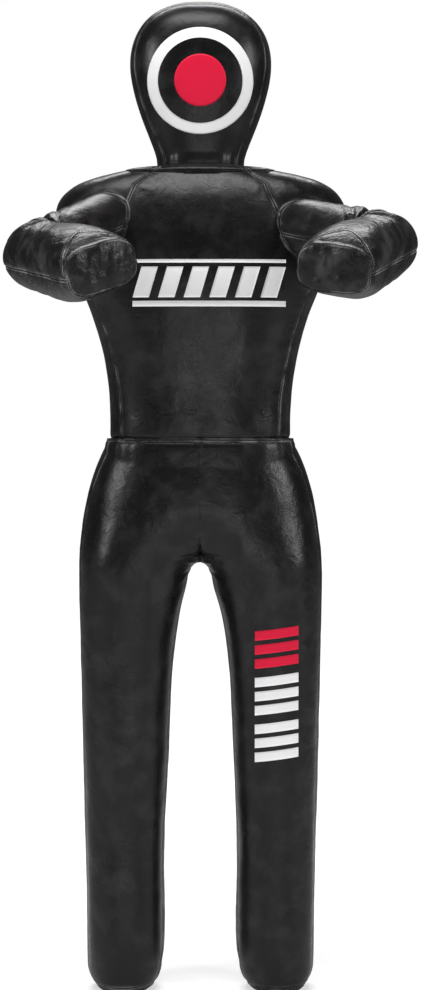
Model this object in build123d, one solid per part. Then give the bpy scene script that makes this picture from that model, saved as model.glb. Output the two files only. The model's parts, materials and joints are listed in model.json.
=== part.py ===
"""A standing grappling mannequin: a sewn synthetic leather body packed with textile filling.

Millimetres, +Z up. The mannequin faces -Y, and its own left side is on +X. The floor is z = 0, and the
origin is on the floor at the middle of the mannequin's footprint box. The arms reach forward and the left
elbow stands out further than the right, so the body itself stands at BODY_X, BODY_Y. Shapes are drawn in
body coordinates, with x = y = 0 at the middle of the legs, and moved there as they are written.

Each soft fold (neck, waist, hips, knees, shoulders, elbows) is a hinge. Both sides are cut back to a
V whose opening is the fold's travel, and a round knuckle of filling keeps the two sides together.
"""

from build123d import *
import math
import os

# --- Driving dimensions -------------------------------------------------------------------------
BODY_X, BODY_Y = -17.0, 175.0  # the body's own middle, measured from the origin
COVER = 1.6  # synthetic leather with its woven backing
SLACK = 1.0  # between the cover and the filling
SEAM = 0.1  # from a seam's plane to each panel's edge
PRINT = 0.4  # thickness of a printed vinyl patch
PRINT_GAP = 0.05
FOLD_GAP = 0.6  # clearance left at each side of a fold
KNUCKLE_GAP = 1.0
SECTION_POINTS = 12
REACH = 700.0  # larger than any piece, for cutting solids

# Heights of the folds, and how far each can move, in degrees
NECK_Z, NECK_RANGE = 1480.0, (-20, 25)
WAIST_Z, WAIST_RANGE = 988.0, (-10, 40)
HIP_Z, HIP_X, HIP_RANGE = 800.0, 111.0, (-15, 60)
KNEE_Z, KNEE_X, KNEE_RANGE = 372.0, 136.0, (0, 45)
SHOULDER_RANGE = (-20, 35)
SHOULDER_SPARE = 10  # more opening under the shoulder, where the chest bulges towards the arm
ELBOW_RANGE = (-15, 25)

# Sections from bottom to top: height, half width, depth in front, depth behind
HEAD = [
    (1480, 78, 61, 61),
    (1530, 92, 69, 71),
    (1590, 114, 81, 84),
    (1653, 127, 88, 93),
    (1705, 121, 85, 91),
    (1745, 96, 70, 75),
    (1768, 58, 44, 47),
    (1778, 22, 18, 19),
]
TORSO = [
    (930, 176, 102, 106),
    (988, 164, 100, 105),
    (1061, 163, 101, 105),
    (1133, 173, 108, 105),
    (1205, 193, 116, 105),
    (1278, 222, 120, 105),
    (1350, 250, 116, 105),
    (1400, 260, 105, 104),
    (1428, 247, 95, 95),
    (1448, 222, 84, 85),
    (1463, 178, 74, 75),
    (1473, 128, 67, 68),
    (1482, 90, 62, 62),
    (1500, 78, 60, 60),
]
HIPS = [(800, 217, 113, 117), (862, 208, 112, 118), (925, 192, 107, 115), (988, 164, 100, 105)]
# The left leg and its foot, from bottom to top: height, inner x, outer x and half depth
LEG = [
    (46, 69, 204, 68),
    (210, 65, 207, 70.5),
    (372, 60, 211, 74),
    (510, 54, 214, 81),
    (630, 44, 217, 90),
    (725, 24, 219, 102),
    (800, 4, 217, 110),
]
FOOT = [(0, 96, 177, 53), (4, 87, 186, 59), (14, 78, 195, 64), (30, 71, 202, 67), (46, 69, 204, 68)]
SQUARENESS = {"head": 2.5, "torso": 2.6, "hips": 2.5, "leg": 2.3}

# Seams: how far in front of and behind the middle plane each panel ends
HEAD_SEAM_Y = 42.0
TORSO_SEAM_Y = 62.0
LEG_SEAM_Y = -18.0
SOLE_SEAM_Z = 12.0  # where the round sole cap is sewn on

# Knuckles of filling inside the folds: radius, length along the fold's axis
NECK_KNUCKLE, WAIST_KNUCKLE = (42.0, 88.0), (70.0, 200.0)
HIP_KNUCKLE, KNEE_KNUCKLE, ARM_KNUCKLE = (62.0, 140.0), (48.0, 100.0), (41.0, 64.0)

# Arms: the shoulder fold, the elbow and the middle of the hand's end face
ARMS = {
    "left": {"shoulder": (207, -96, 1356), "elbow": (318, -205, 1326), "hand": (218, -440, 1274)},
    "right": {"shoulder": (-194, -102, 1358), "elbow": (-284, -212, 1308), "hand": (-158, -440, 1276)},
}
ARM_R = 56.0
# Forearm sections: share of the way from the elbow, half width, half height
FOREARM = [(-0.1, 56, 56), (0.0, 57, 57), (0.35, 60, 60), (0.7, 65, 60), (0.88, 68, 51), (1.0, 66, 36)]

# Target on the face, measured on the front of the head
TARGET_Z = 1626.0
TARGET_RING_R = (75.0, 94.0)
TARGET_CENTRE_R = 46.0

# Printed blocks on the chest and on the left thigh
CHEST_PRINT_X = (-119.0, 151.0)  # printed a little towards the left side
CHEST_PRINT_Z = (1224.0, 1307.0)
CHEST_BLOCKS = 6
LEG_PRINT_X = (97.0, 174.0)
LEG_PRINT_Z = (416.0, 672.0)

# Zip up the middle of the back
ZIP_Z = (1120.0, 1400.0)
ZIP_BACK = 105.0  # the back is flat here
CHAIN_Y = ZIP_BACK - 2.4  # the chain's own middle plane, just inside the cover
ZIP_OPENING = 7.0  # half width of the slot between the two back panels
ZIP_BED = 22.0  # half width of the hollow under the zip
ZIP_TAPE_W, ZIP_TAPE_T = 16.0, 0.8
CHAIN_HALF, CHAIN_T, TOOTH_PITCH = 3.4, 2.0, 5.0
SLIDER_L, SLIDER_W = 16.0, 11.0
PIN_R, PIN_HOLE_R, EYE_R = 1.1, 1.15, 2.1
PULL_L, PULL_W, PULL_T = 34.0, 10.0, 1.6


# --- Shape helpers ------------------------------------------------------------------------------
def section(plane, half_x, front, back, power, points=SECTION_POINTS):
    """A closed rounded outline on a plane: front is its depth towards -y, back towards +y."""
    outline = []
    for i in range(points):
        turn = 2 * math.pi * i / points
        c, s = math.cos(turn), math.sin(turn)
        depth = front if s < 0 else back
        x = half_x * math.copysign(abs(c) ** (2 / power), c)
        y = depth * math.copysign(abs(s) ** (2 / power), s)
        outline.append(plane.from_local_coords(Vector(x, y, 0)))
    return Wire([Spline(*outline, periodic=True)])


def trunk(rows, inset, power, closed_top=False, closed_bottom=False):
    """The body lofted through level sections, shrunk by inset. A closed end is shortened by inset too."""
    wires = []
    for i, (z, centre_x, half, front, back) in enumerate(rows):
        if closed_bottom and i == 0:
            z += inset
        if closed_top and i == len(rows) - 1:
            z -= inset
        level = Plane(origin=(centre_x, 0, z), x_dir=(1, 0, 0), z_dir=(0, 0, 1))
        wires.append(section(level, half - inset, front - inset, back - inset, power))
    return Solid.make_loft(wires)


def head_body(inset):
    rows = [(z, 0, half, front, back) for z, half, front, back in HEAD]
    return trunk(rows, inset, SQUARENESS["head"], closed_top=True)


def torso_body(inset):
    rows = [(z, 0, half, front, back) for z, half, front, back in TORSO]
    return trunk(rows, inset, SQUARENESS["torso"])


def hips_body(inset):
    rows = [(z, 0, half, front, back) for z, half, front, back in HIPS]
    return trunk(rows, inset, SQUARENESS["hips"])


def leg_rows(stations):
    return [(z, (inner + outer) / 2, (outer - inner) / 2, depth, depth) for z, inner, outer, depth in stations]


def leg_body(inset):
    return trunk(leg_rows(LEG), inset, SQUARENESS["leg"])


def foot_body(inset):
    return trunk(leg_rows(FOOT), inset, SQUARENESS["leg"], closed_bottom=True)


def block(x_range, y_range, z_range):
    """A box between two corners."""
    sizes = [high - low for low, high in (x_range, y_range, z_range)]
    middle = [(low + high) / 2 for low, high in (x_range, y_range, z_range)]
    return Pos(*middle) * Box(*sizes)


def fold_side(pivot, axis, normal, plus, minus, child, width=REACH):
    """The space one side of a fold may fill. normal points from the parent to the child, and a positive
    turn about axis closes the side where axis x normal points. plus and minus are how many degrees each
    half of the V opens there and opposite."""
    lateral = axis.cross(normal)
    sign = 1 if child else -1
    rise = [REACH * math.tan(math.radians(angle)) + FOLD_GAP for angle in (plus, minus)]
    far = 2.5 * REACH
    outline = [
        (0, sign * FOLD_GAP),
        (REACH, sign * rise[0]),
        (REACH, sign * far),
        (-REACH, sign * far),
        (-REACH, sign * rise[1]),
    ]
    across = Plane(origin=pivot, x_dir=lateral, z_dir=axis * -1)
    corners = [across.from_local_coords(Vector(x, y, 0)) for x, y in outline]
    face = Face(Wire.make_polygon(corners, close=True))
    prism = Solid.extrude(face, axis * width)
    return Pos(*(axis * (-width / 2))) * prism


def halves(fold_range):
    """How far each side of a two-sided V opens: half of the travel each way."""
    return fold_range[1] / 2, -fold_range[0] / 2


def bar(pivot, axis, radius, length):
    """A round bar centred on pivot along axis."""
    base = Plane(origin=pivot - axis * (length / 2), z_dir=axis)
    return base * Cylinder(radius, length, align=(Align.CENTER, Align.CENTER, Align.MIN))


def knuckle(pivot, axis, size, clearance=0.0):
    radius, length = size
    return bar(pivot, axis, radius + clearance, length + 2 * clearance)


def shell(outer, inner, *keep):
    """A cover panel: the part of outer inside every keep solid, with inner taken out."""
    piece = outer
    for region in keep:
        piece = piece & region
    return piece - inner


def ahead_of(y):
    return block((-REACH, REACH), (-REACH, y - SEAM), (-10, 2000))


def behind(y):
    return block((-REACH, REACH), (y + SEAM, REACH), (-10, 2000))


def between(y_low, y_high):
    return block((-REACH, REACH), (y_low + SEAM, y_high - SEAM), (-10, 2000))


def beside(side):
    """The half of space on the mannequin's left for side 1, and on its right for side -1."""
    x_range = (SEAM, REACH) if side > 0 else (-REACH, -SEAM)
    return block(x_range, (-REACH, REACH), (-10, 2000))


def slanted_bar(x, z_low, z_high, width, slant):
    """A leaning bar's outline on the XZ plane, its foot centred on x."""
    return Polygon(
        (x - width / 2, z_low),
        (x + width / 2, z_low),
        (x + width / 2 + slant, z_high),
        (x - width / 2 + slant, z_high),
        align=None,
    )


def printed(outlines, body, depth_range):
    """Flat outlines in X and Z pressed onto the front of a body, as a vinyl film."""
    front = Plane(origin=(0, depth_range[1], 0), x_dir=(1, 0, 0), z_dir=(0, -1, 0))
    film = extrude(front * outlines, amount=depth_range[1] - depth_range[0])
    return (film & body(-PRINT_GAP - PRINT)) - body(-PRINT_GAP)


PIECES = {}


def keep(name, shape):
    PIECES[name] = shape


# --- Folds of the trunk and legs ----------------------------------------------------------------
X_AXIS, UP = Vector(1, 0, 0), Vector(0, 0, 1)
NECK = Vector(0, 0, NECK_Z)
WAIST = Vector(0, 0, WAIST_Z)


def neck_side(child):
    return fold_side(NECK, X_AXIS, UP, *halves(NECK_RANGE), child)


def waist_side(child):
    return fold_side(WAIST, X_AXIS, UP, *halves(WAIST_RANGE), child)


def hip_side(child):
    pivot = Vector(0, 0, HIP_Z)
    return fold_side(pivot, X_AXIS * -1, UP * -1, *halves(HIP_RANGE), child)


def knee_side(child):
    pivot = Vector(KNEE_X, 0, KNEE_Z)
    return fold_side(pivot, X_AXIS, UP * -1, *halves(KNEE_RANGE), child)


# --- Head ---------------------------------------------------------------------------------------
def build_head():
    above = neck_side(True)
    outer, inner = head_body(0) & above, head_body(COVER)
    keep("head_front_panel", shell(outer, inner, ahead_of(-HEAD_SEAM_Y)))
    keep("head_side_gusset", shell(outer, inner, between(-HEAD_SEAM_Y, HEAD_SEAM_Y)))
    keep("head_back_panel", shell(outer, inner, behind(HEAD_SEAM_Y)))
    keep("head_filling", (head_body(COVER + SLACK) & above) + knuckle(NECK, X_AXIS, NECK_KNUCKLE))

    inner_r, outer_r = TARGET_RING_R
    ring = Pos(0, TARGET_Z) * (Circle(outer_r) - Circle(inner_r))
    keep("target_ring", printed(ring, head_body, (-REACH, -30)))
    keep("target_centre", printed(Pos(0, TARGET_Z) * Circle(TARGET_CENTRE_R), head_body, (-REACH, -30)))


# --- Torso --------------------------------------------------------------------------------------
def torso_space(inset):
    """The torso inside its waist and neck folds, hollowed where the arms' knuckles turn."""
    body = torso_body(inset) & waist_side(True) & neck_side(False)
    for arm in ARMS.values():
        shoulder, _, lift_axis = shoulder_frame(arm)
        body = body - knuckle(shoulder, lift_axis, ARM_KNUCKLE, KNUCKLE_GAP)
    return body


def build_torso():
    outer, inner = torso_space(0), torso_body(COVER)
    zip_slot = block((-ZIP_OPENING, ZIP_OPENING), (0, REACH), (ZIP_Z[0] - 4, ZIP_Z[1] + 4))
    keep("torso_front_panel", shell(outer, inner, ahead_of(-TORSO_SEAM_Y)))
    for name, side in (("left", 1), ("right", -1)):
        half = beside(side)
        keep(f"torso_side_panel_{name}", shell(outer, inner, between(-TORSO_SEAM_Y, TORSO_SEAM_Y), half))
        keep(f"torso_back_panel_{name}", shell(outer, inner, behind(TORSO_SEAM_Y), half) - zip_slot)

    zip_bed = block((-ZIP_BED, ZIP_BED), (ZIP_BACK - 8, REACH), (ZIP_Z[0] - 6, ZIP_Z[1] + 6))
    filling = torso_space(COVER + SLACK) - zip_bed - knuckle(NECK, X_AXIS, NECK_KNUCKLE, KNUCKLE_GAP)
    keep("torso_filling", filling + knuckle(WAIST, X_AXIS, WAIST_KNUCKLE))

    low, high = CHEST_PRINT_Z
    start, end = CHEST_PRINT_X
    outlines = Pos((start + end) / 2, high - 3) * Rectangle(end - start, 6)
    outlines += Pos((start + end) / 2, low + 5) * Rectangle(end - start, 10)
    pitch = (end - start) / CHEST_BLOCKS
    for i in range(CHEST_BLOCKS):
        foot = start + pitch * (i + 0.5) - 8
        outlines += slanted_bar(foot, low + 16, high - 13, pitch - 16, 16)
    keep("chest_print", printed(outlines, torso_body, (-REACH, -30)))


# --- Zip ----------------------------------------------------------------------------------------
def comb(side):
    """One half of the closed chain: a cord with teeth that reach past the middle between the other's."""
    low, high = ZIP_Z[0] + 6, ZIP_Z[1] - 6
    cord = 1.2
    count = int((high - low) / TOOTH_PITCH)
    outline = Pos(-side * (CHAIN_HALF - cord / 2), (low + high) / 2) * Rectangle(cord, high - low)
    reach = CHAIN_HALF - cord / 2 + 1.2
    for i in range(count):
        z = low + TOOTH_PITCH * (i + (0.27 if side > 0 else 0.77))
        outline += Pos(-side * (CHAIN_HALF - cord / 2 - reach / 2), z) * Rectangle(reach, 0.42 * TOOTH_PITCH)
    behind_view = Plane(origin=(0, CHAIN_Y, 0), x_dir=(-1, 0, 0), z_dir=(0, 1, 0))
    return Pos(0, -CHAIN_T / 2, 0) * extrude(behind_view * outline, amount=CHAIN_T)


def build_zip():
    z_mid, length = (ZIP_Z[0] + ZIP_Z[1]) / 2, ZIP_Z[1] - ZIP_Z[0]
    tape_y = CHAIN_Y - 1.1
    for name, side in (("left", 1), ("right", -1)):
        tape = Pos(CHAIN_HALF + 0.1 + ZIP_TAPE_W / 2, tape_y, z_mid) * Box(ZIP_TAPE_W, ZIP_TAPE_T, length)
        keep(f"zip_tape_{name}", tape if side > 0 else tape.mirror(Plane.YZ))
        keep(f"zip_teeth_{name}", comb(side))
    stops = [
        block((-2.6, 2.6), (CHAIN_Y - 1.2, CHAIN_Y + 1.2), (z - 2, z + 2))
        for z in (ZIP_Z[0] + 2.5, ZIP_Z[1] - 2.5)
    ]
    keep("zip_stops", Compound(children=stops))

    top = ZIP_Z[1] - 14
    plate_x, plate_z = (-SLIDER_W / 2, SLIDER_W / 2), (top - SLIDER_L, top)
    face_y = CHAIN_Y + CHAIN_T / 2 + 0.3
    upper = fillet(block(plate_x, (face_y, face_y + 1.4), plate_z).edges().filter_by(Axis.Y), 3)
    lower = fillet(block(plate_x, (CHAIN_Y - 3.1, CHAIN_Y - 1.9), plate_z).edges().filter_by(Axis.Y), 3)
    pin_y, pin_z = face_y + 1.4 + EYE_R + 0.2, top - 5.0
    ear_y, ear_z = (face_y + 1.0, pin_y + 1.7), (pin_z - 2.2, pin_z + 2.2)
    ears = [block((x - 0.9, x + 0.9), ear_y, ear_z) for x in (-2.9, 2.9)]
    pin = bar(Vector(0, pin_y, pin_z), X_AXIS, PIN_R, 7.0)
    keep("zip_slider", Compound(children=[upper + ears[0] + ears[1] + pin, lower]))

    tongue = block((-1.5, 1.5), (pin_y - PULL_T / 2, pin_y + PULL_T / 2), (pin_z - 8, pin_z))
    tongue += bar(Vector(0, pin_y, pin_z), X_AXIS, EYE_R, 3.0)
    tab_y = (pin_y - PULL_T / 2, pin_y + PULL_T / 2)
    tab = block((-PULL_W / 2, PULL_W / 2), tab_y, (pin_z - PULL_L, pin_z - 6))
    tab = fillet(tab.edges().filter_by(Axis.Y), 3)
    window = block((-2.2, 2.2), (pin_y - 5, pin_y + 5), (pin_z - PULL_L + 5, pin_z - PULL_L + 16))
    hole = bar(Vector(0, pin_y, pin_z), X_AXIS, PIN_HOLE_R, 20)
    keep("zip_puller", tongue + tab - window - hole)


# --- Hips and legs ------------------------------------------------------------------------------
def build_hips():
    outer = hips_body(0) & waist_side(False) & hip_side(False)
    inner = hips_body(COVER)
    for name, side in (("left", 1), ("right", -1)):
        keep(f"hips_front_panel_{name}", shell(outer, inner, beside(side), ahead_of(LEG_SEAM_Y)))
        keep(f"hips_back_panel_{name}", shell(outer, inner, beside(side), behind(LEG_SEAM_Y)))
    filling = hips_body(COVER + SLACK) & waist_side(False) & hip_side(False)
    filling = filling - knuckle(WAIST, X_AXIS, WAIST_KNUCKLE, KNUCKLE_GAP)
    for side in (1, -1):
        filling = filling - knuckle(Vector(side * HIP_X, 0, HIP_Z), X_AXIS, HIP_KNUCKLE, KNUCKLE_GAP)
    keep("hips_filling", filling)


def build_legs():
    """The left leg, and the right leg as its mirror image."""
    outer, inner, core = [leg_body(inset) + foot_body(inset) for inset in (0, COVER, COVER + SLACK)]
    hip, knee = Vector(HIP_X, 0, HIP_Z), Vector(KNEE_X, 0, KNEE_Z)
    thigh, shin = [hip_side(True), knee_side(False)], knee_side(True)
    below_cap = block((-REACH, REACH), (-REACH, REACH), (-10, SOLE_SEAM_Z - SEAM))
    above_cap = block((-REACH, REACH), (-REACH, REACH), (SOLE_SEAM_Z + SEAM, 2000))
    upper = (core & thigh[0] & thigh[1]) + knuckle(hip, X_AXIS, HIP_KNUCKLE)
    lower = (core & shin) + knuckle(knee, X_AXIS, KNEE_KNUCKLE)
    leg = {
        "thigh_front_panel": shell(outer, inner, *thigh, ahead_of(LEG_SEAM_Y)),
        "thigh_back_panel": shell(outer, inner, *thigh, behind(LEG_SEAM_Y)),
        "shin_front_panel": shell(outer, inner, shin, above_cap, ahead_of(LEG_SEAM_Y)),
        "shin_back_panel": shell(outer, inner, shin, above_cap, behind(LEG_SEAM_Y)),
        "foot_cap": shell(outer, inner, below_cap),
        "thigh_filling": upper - knuckle(knee, X_AXIS, KNEE_KNUCKLE, KNUCKLE_GAP),
        "shin_filling": lower,
    }
    for name, piece in leg.items():
        keep(f"left_{name}", piece)
        keep(f"right_{name}", piece.mirror(Plane.YZ))


def build_leg_print():
    """Three blocks of leaning bars up the left thigh: two white below one red."""
    left, right = LEG_PRINT_X
    low, high = LEG_PRINT_Z
    pitch = (high - low) / 3
    colours = {"white": [], "red": []}
    for i in range(3):
        foot = low + pitch * i
        for k in range(3):
            z = foot + k * (pitch - 8) / 3
            band = Polygon((left, z), (right, z + 10), (right, z + 27), (left, z + 17), align=None)
            colours["red" if i == 2 else "white"].append(band)
    for colour, bands in colours.items():
        outlines = bands[0]
        for band in bands[1:]:
            outlines += band
        keep(f"thigh_print_{colour}", printed(outlines, leg_body, (-REACH, -30)))


# --- Arms ---------------------------------------------------------------------------------------
def shoulder_frame(arm):
    """The shoulder fold's middle, the way the upper arm runs from it, and the level axis it lifts about."""
    shoulder, elbow = Vector(*arm["shoulder"]), Vector(*arm["elbow"])
    along = (elbow - shoulder).normalized()
    return shoulder, along, along.cross(UP).normalized()


def half_space(origin, outward):
    """Everything on one side of the plane through origin."""
    standing = (Align.CENTER, Align.CENTER, Align.MIN)
    return Plane(origin=origin, z_dir=outward) * Box(2 * REACH, 2 * REACH, 2 * REACH, align=standing)


def build_arm(name, arm):
    shoulder, along_upper, lift_axis = shoulder_frame(arm)
    elbow, hand = Vector(*arm["elbow"]), Vector(*arm["hand"])
    along_fore = (hand - elbow).normalized()
    bend_axis = along_upper.cross(along_fore).normalized()
    top_side = bend_axis if bend_axis.Z > 0 else bend_axis * -1

    def upper_body(inset):
        base = Plane(origin=shoulder, z_dir=along_upper)
        length = (elbow - shoulder).length
        tube = base * Cylinder(ARM_R - inset, length, align=(Align.CENTER, Align.CENTER, Align.MIN))
        return tube + Pos(*elbow) * Sphere(ARM_R - inset)

    def fore_body(inset):
        length = (hand - elbow).length
        across = top_side.cross(along_fore)
        wires = []
        for share, half, height in FOREARM:
            reach = share * length - (inset if share == 1.0 else 0)
            level = Plane(origin=elbow + along_fore * reach, x_dir=across, z_dir=along_fore)
            wires.append(section(level, half - inset, height - inset, height - inset, 2.0 + share))
        return Solid.make_loft(wires) + Pos(*elbow) * Sphere(ARM_R - inset)

    across_elbow = (along_upper + along_fore).normalized()
    droop = SHOULDER_SPARE - SHOULDER_RANGE[0]
    shoulder_side = fold_side(shoulder, lift_axis, along_upper, SHOULDER_RANGE[1], droop, True)
    upper_side = fold_side(elbow, bend_axis, across_elbow, *halves(ELBOW_RANGE), False)
    fore_side = fold_side(elbow, bend_axis, across_elbow, *halves(ELBOW_RANGE), True)
    before_cap = half_space(hand - along_fore * (COVER + SEAM), along_fore * -1)
    beyond_cap = half_space(hand - along_fore * (COVER - SEAM), along_fore)

    upper_outer, fore_outer = upper_body(0) & shoulder_side & upper_side, fore_body(0) & fore_side
    upper_inner, fore_inner = upper_body(COVER), fore_body(COVER)
    for label, upward in (("top", top_side), ("bottom", top_side * -1)):
        half = half_space(elbow + upward * SEAM, upward)
        keep(f"{name}_upper_arm_{label}_panel", shell(upper_outer, upper_inner, half))
        keep(f"{name}_forearm_{label}_panel", shell(fore_outer, fore_inner, half, before_cap))
    keep(f"{name}_hand_cap", fore_outer & beyond_cap)

    upper_core = upper_body(COVER + SLACK) & shoulder_side & upper_side
    upper_core = upper_core + knuckle(shoulder, lift_axis, ARM_KNUCKLE)
    keep(f"{name}_upper_arm_filling", upper_core - knuckle(elbow, bend_axis, ARM_KNUCKLE, KNUCKLE_GAP))
    fore_core = (fore_body(COVER + SLACK) & fore_side) + knuckle(elbow, bend_axis, ARM_KNUCKLE)
    keep(f"{name}_forearm_filling", fore_core)


# --- Build and write ----------------------------------------------------------------------------
build_head()
build_torso()
build_zip()
build_hips()
build_legs()
build_leg_print()
for arm_name, arm_points in ARMS.items():
    build_arm(arm_name, arm_points)

os.makedirs("parts", exist_ok=True)
for piece_name, piece in PIECES.items():
    export_step(Pos(BODY_X, BODY_Y, 0) * piece, f"parts/{piece_name}.step")
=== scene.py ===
"""Looks for the filled grappling mannequin: sewn glossy synthetic leather skins fitted over the CAD covers.

Every skin is a grid of rings cast onto the CAD cover panels, so its place and size come from the frame.
Seams, folds and soft dents are then pressed into it, and it is cut into the object's own panels.
"""

import itertools
import json
import math

import bmesh
import bpy
import numpy as np
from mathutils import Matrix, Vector
from mathutils.bvhtree import BVHTree


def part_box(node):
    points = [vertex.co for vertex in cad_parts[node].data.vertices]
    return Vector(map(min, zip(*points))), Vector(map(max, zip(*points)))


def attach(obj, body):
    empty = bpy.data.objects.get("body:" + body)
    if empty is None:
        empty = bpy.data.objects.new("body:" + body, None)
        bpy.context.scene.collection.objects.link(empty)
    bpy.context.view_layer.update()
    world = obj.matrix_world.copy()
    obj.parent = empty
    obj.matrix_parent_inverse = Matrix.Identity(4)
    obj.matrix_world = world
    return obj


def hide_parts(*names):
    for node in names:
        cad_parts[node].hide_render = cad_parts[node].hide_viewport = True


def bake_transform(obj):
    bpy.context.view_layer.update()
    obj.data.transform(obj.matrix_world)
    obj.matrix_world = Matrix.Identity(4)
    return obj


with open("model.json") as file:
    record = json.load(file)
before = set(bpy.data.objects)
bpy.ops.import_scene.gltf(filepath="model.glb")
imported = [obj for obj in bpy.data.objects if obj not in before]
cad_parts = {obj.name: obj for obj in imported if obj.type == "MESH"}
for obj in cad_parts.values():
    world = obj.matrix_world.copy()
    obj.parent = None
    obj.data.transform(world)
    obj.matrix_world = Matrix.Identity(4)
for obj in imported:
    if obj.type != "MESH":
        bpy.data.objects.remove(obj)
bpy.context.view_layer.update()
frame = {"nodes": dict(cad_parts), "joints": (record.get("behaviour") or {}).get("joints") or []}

# --- Places read from the frame (metres) ---
JOINTS = {joint["name"]: joint for joint in frame["joints"]}


def pivot(name):
    return Vector(JOINTS[name]["pos_m"])


WAIST = pivot("waist_bend")
NECK = pivot("neck_nod")
HIP = pivot("left_hip_bend")
KNEE = pivot("left_knee_bend")
BODY_X, BODY_Y = WAIST.x, WAIST.y
HIP_X, KNEE_X = HIP.x - BODY_X, KNEE.x - BODY_X
CROWN_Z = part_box("head_filling")[1].z
SIDES = {"left": 1, "right": -1}
CELL = 0.0042  # the skins' grid spacing
ARM_CELL = 0.003  # and the arms', whose folds are finer
ARM_ROOT = 0.065  # how far each sleeve reaches into the trunk
SLEEVE = 0.057  # the sleeve's radius where it meets the trunk
SPLIT_Z = (HIP.z + KNEE.z) / 2 - 0.02  # where the trouser panels pass from their upper pieces to their lower ones
CROTCH_Z = HIP.z - 0.032
FOOT_LOW, FOOT_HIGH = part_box("left_foot_cap")
SOLE_SEAM_Z = FOOT_HIGH.z
FOOT_X = (FOOT_LOW.x + FOOT_HIGH.x) / 2 - BODY_X
HEAD_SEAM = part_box("head_side_gusset")[1].y - BODY_Y
TORSO_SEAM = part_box("torso_side_panel_left")[1].y - BODY_Y
LEG_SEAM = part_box("left_shin_front_panel")[1].y - BODY_Y
ZIP_LOW, ZIP_HIGH = [corner.z + spare for corner, spare in zip(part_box("zip_tape_left"), (-0.004, 0.004))]
ZIP_HALF = 0.007  # half the slot between the two back panels
PRINT_LIFT, PRINT_SINK = 0.0007, 0.0012  # a print's face above the leather, and its edge's foot below it
ARM_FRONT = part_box("torso_filling")[0].y - 0.01  # leather ahead of this plane is arm, and the most creased
REACH = 0.6  # how far off a ray starts, well outside the figure
GRAZING = 0.04  # a ray that meets a face this flat has caught a cut edge
STEEPEST = 0.3  # the slope that a skin may have where it crosses an open fold


def smooth(low, high, value):
    """0 below low, 1 above high, and an even curve between them."""
    t = np.clip((np.asarray(value, float) - low) / (high - low), 0, 1)
    return t * t * (3 - 2 * t)


def bump(value, width):
    return np.exp(-((value / width) ** 2))


def rough(points, scale, shift=0.0):
    """Smooth gradient noise, about -1 to 1, at every point. scale is per metre, one or one per axis."""
    at = points * np.asarray(scale, float) + shift
    cell = np.floor(at)
    part = at - cell
    fade = part**3 * (part * (part * 6 - 15) + 10)
    total = np.zeros(points.shape[:-1])
    for corner in itertools.product((0.0, 1.0), repeat=3):
        knot = (cell + corner) @ np.array([12.9898, 78.233, 37.719])
        mixed = [np.sin(knot + 1.7 * axis) * (43758.5453 + 911 * axis) for axis in range(3)]
        slope = np.stack([m - np.floor(m) for m in mixed], axis=-1) * 2 - 1
        weight = np.prod(np.where(corner, fade, 1 - fade), axis=-1)
        total += weight * np.sum(slope * (part - corner), axis=-1)
    return total * 1.5


def streaks(shift, *runs):
    """The same noise over any three runs, such as the way along a seam."""
    return rough(np.stack(np.broadcast_arrays(*runs), axis=-1), 1.0, shift)


def corners(i, k, columns):
    """One cell's corners in a grid of closed rings, as indices of its points."""
    n = (k + 1) % columns
    return i * columns + k, i * columns + n, (i + 1) * columns + n, (i + 1) * columns + k


# --- Fitting rings to the CAD covers ---
def covers(*words):
    """One search tree over the CAD cover panels whose names hold any of the words."""
    points, faces = [], []
    for name, node in frame["nodes"].items():
        is_cover = any(kind in name for kind in ("_panel", "_cap", "_gusset"))
        if is_cover and any(word in name for word in words):
            first = len(points)
            points += [v.co.copy() for v in node.data.vertices]
            faces += [[first + i for i in p.vertices] for p in node.data.polygons]
    return BVHTree.FromPolygons(points, faces)


def bridge_slots(row, widest=12):
    """Fills narrow breaks in one ring, where rays slip between two panels, from the points beside them."""
    known = np.flatnonzero(~np.isnan(row))
    if len(known) < 2:
        return
    size = len(row)
    for a, b in zip(known, np.append(known[1:], known[0] + size)):
        if 1 < b - a <= widest:
            for k in range(a + 1, b):
                share = (k - a) / (b - a)
                row[k % size] = row[a] * (1 - share) + row[b % size] * share


def cast_rings(tree, frames, along, turns=300):
    """Points round each frame (centre, u, v) on the CAD covers. Gaps are bridged along the tube."""
    angles = 2 * math.pi * np.arange(turns) / turns
    radii = np.full((len(frames), turns), np.nan)
    for i, (centre, u, v) in enumerate(frames):
        for k, angle in enumerate(angles):
            way = u * math.cos(angle) + v * math.sin(angle)
            found = tree.ray_cast(centre + way * REACH, -way, REACH - 0.01)
            if found[0] is not None and found[1].dot(way) > GRAZING:
                radii[i, k] = REACH - found[3]
    for row in radii:
        bridge_slots(row)
    trim_breaks(radii)
    for k in range(turns):
        bridge_fold(radii[:, k], np.asarray(along))
    centres, u, v = as_arrays(frames)
    ways = u * np.cos(angles)[None, :, None] + v * np.sin(angles)[None, :, None]
    return centres + ways * radii[..., None]


def as_arrays(frames):
    """All the frames' centres, first ways and second ways, ready to work on a grid."""
    return [np.array([f[i] for f in frames])[:, None] for i in range(3)]


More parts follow.
